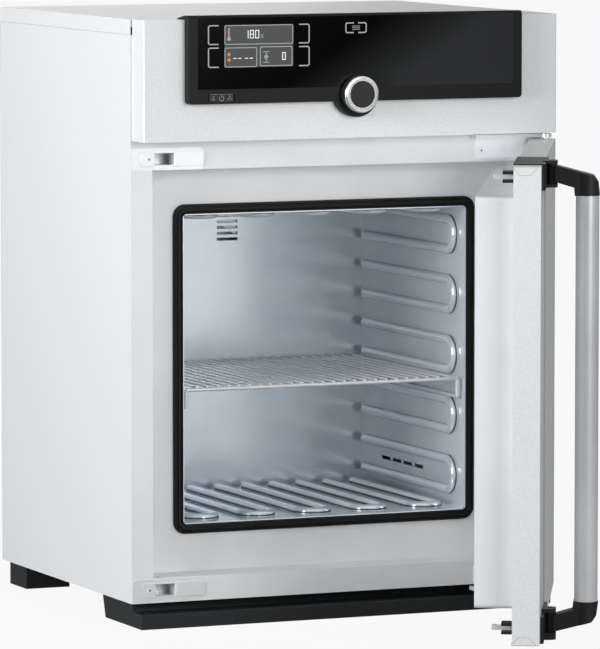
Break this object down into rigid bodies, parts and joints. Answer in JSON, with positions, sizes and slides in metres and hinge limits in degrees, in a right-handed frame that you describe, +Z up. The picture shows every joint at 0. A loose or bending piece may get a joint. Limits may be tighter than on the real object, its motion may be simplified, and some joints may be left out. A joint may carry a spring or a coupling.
{
  "type": "laboratory oven",
  "caption": "Bench laboratory oven in embossed stainless steel with its side-hinged door open, ribbed chamber, wire shelf and dark control panel",
  "frame": {"origin": "on the floor under the middle of the cabinet's front plane", "axes": "+X to the right and +Y to the back as seen from the front, +Z up"},
  "size_m": [0.5894, 1.0174, 0.7895],
  "materials": {
    "linen_steel": "linen-embossed stainless sheet",
    "satin_steel": "fine satin stainless sheet",
    "chamber_steel": "bright stainless liner with polished beads",
    "galvanised": "zinc-coated sheet",
    "bright_steel": "polished stainless fittings",
    "grip_steel": "brushed round tube",
    "black_plastic": "moulded dark plastic",
    "foot_plastic": "moulded black foot",
    "panel_plastic": "satin dark frame",
    "gasket_rubber": "black silicone with fine lips",
    "panel_glass": "black glass, glossy",
    "display": "dark display pane",
    "knob_chrome": "bright turned ring",
    "wadding": "mineral-wool block",
    "heater_metal": "dark heating rod",
    "board": "green circuit board",
    "brass": "turned bush"
  },
  "bodies": {
    "root": {"side_panel_left": "linen_steel", "side_panel_right": "linen_steel", "top_cover": "linen_steel", "rear_panel": "galvanised", "base_pan": "galvanised", "control_header": "linen_steel", "front_frame": "satin_steel", "door_recess": "satin_steel", "chamber_wall_left": "chamber_steel", "chamber_wall_right": "chamber_steel", "chamber_floor": "chamber_steel", "chamber_ceiling": "chamber_steel", "chamber_back_wall": "chamber_steel", "door_gasket": "gasket_rubber", "strike_plates": "bright_steel", "hinge_bracket_top": "bright_steel", "hinge_bracket_bottom": "bright_steel", "hinge_adjuster": "black_plastic", "frame_screws": "bright_steel", "side_heaters": "heater_metal", "floor_and_ceiling_heaters": "heater_metal", "insulation": "wadding", "compartment_shelf": "galvanised", "exhaust_duct": "galvanised", "flap_motor": "black_plastic", "fresh_air_duct": "galvanised", "temperature_probe": "bright_steel", "power_board": "board", "temperature_limiter": "galvanised", "power_inlet": "black_plastic", "foot_front_left": "foot_plastic", "foot_front_right": "foot_plastic", "plinth_middle": "foot_plastic", "rear_feet": "foot_plastic", "control_bezel": "panel_plastic", "control_glass": "panel_glass", "display_module": "display", "control_board": "board", "knob_encoder": "black_plastic"},
    "door": {"door_casing": "linen_steel", "door_inner_pan": "satin_steel", "door_insulation": "wadding", "door_hinge_bushes": "brass", "latch_cover_top": "black_plastic", "latch_cover_bottom": "black_plastic", "latch_blocks": "black_plastic", "latch_pins": "bright_steel"},
    "handle": {"handle_tube": "grip_steel", "handle_arm_top": "black_plastic", "handle_arm_bottom": "black_plastic"},
    "hook_top": {"latch_hook_top": "bright_steel"},
    "hook_bottom": {"latch_hook_bottom": "bright_steel"},
    "knob_stem": {"knob_shaft": "bright_steel"},
    "knob": {"knob_ring": "knob_chrome", "knob_cap": "black_plastic"},
    "power_rocker": {"power_key": "black_plastic"},
    "shelf": {"grid_shelf": "bright_steel"},
    "flap": {"exhaust_flap": "bright_steel"}
  },
  "joints": [
    {"name": "door_hinge", "type": "hinge", "parent": "root", "child": "door", "pos_m": [0.283, -0.024, 0.327], "axis": [0, 0, 1], "range_deg": [-62.4, 117.6]},
    {"name": "handle_swing", "type": "hinge", "parent": "door", "child": "handle", "pos_m": [0.07721, -0.46708, 0.3295], "axis": [0, 0, 1], "range_deg": [0, 30]},
    {"name": "hook_top_turn", "type": "hinge", "parent": "door", "child": "hook_top", "pos_m": [0.03399, -0.48736, 0.6052], "axis": [0, 0, 1], "range_deg": [-12, 0]},
    {"name": "hook_bottom_turn", "type": "hinge", "parent": "door", "child": "hook_bottom", "pos_m": [0.03399, -0.48736, 0.0506], "axis": [0, 0, 1], "range_deg": [-12, 0]},
    {"name": "knob_push", "type": "slide", "parent": "root", "child": "knob_stem", "axis": [0, 1, 0], "range_m": [0, 0.002], "stiffness_N_per_m": 300},
    {"name": "knob_turn", "type": "hinge", "parent": "knob_stem", "child": "knob", "pos_m": [0, -0.06, 0.686], "axis": [0, -1, 0], "continuous": true},
    {"name": "power_rock", "type": "hinge", "parent": "root", "child": "power_rocker", "pos_m": [-0.189, -0.046, 0.6843], "axis": [0, 0, 1], "range_deg": [-1, 1]},
    {"name": "shelf_slide", "type": "slide", "parent": "root", "child": "shelf", "axis": [0, -1, 0], "range_m": [0, 0.095]},
    {"name": "flap_turn", "type": "hinge", "parent": "root", "child": "flap", "pos_m": [0.034, 0.395, 0.484], "axis": [0, 1, 0], "range_deg": [-35, 35]}
  ],
  "couplings": [
    {"joint": "hook_top_turn", "follows": "handle_swing", "ratio": -0.4},
    {"joint": "hook_bottom_turn", "follows": "handle_swing", "ratio": -0.4}
  ]
}
